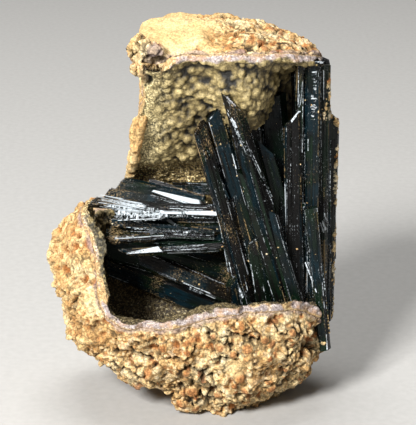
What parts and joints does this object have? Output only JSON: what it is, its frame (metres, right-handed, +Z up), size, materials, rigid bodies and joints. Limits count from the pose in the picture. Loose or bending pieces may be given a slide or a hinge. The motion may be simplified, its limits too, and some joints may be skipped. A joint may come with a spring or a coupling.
{
  "type": "vivianite crystal specimen",
  "caption": "Long black-green vivianite blades standing and lying in a broken hollow ironstone nodule, lined with a rounded, lumpy crust.",
  "frame": {"origin": "middle of the bounding box, on the plane of the flat that the nodule rests on", "axes": "+Z up, -Y towards the broken open side, +X towards the upright crystals"},
  "size_m": [0.073, 0.0486, 0.0971],
  "materials": {
    "limonite": "rough, earthy, oolitic",
    "lining_crust": "botryoidal, satin, lilac-grey where broken",
    "vivianite": "glassy, striated, nearly opaque black-green"
  },
  "bodies": {
    "root": {"limonite_matrix": "limonite", "botryoidal_crust": "lining_crust", "upright_crystals": "vivianite", "corner_crystal": "vivianite", "cross_crystals": "vivianite", "cavity_crystals": "vivianite"}
  },
  "joints": []
}
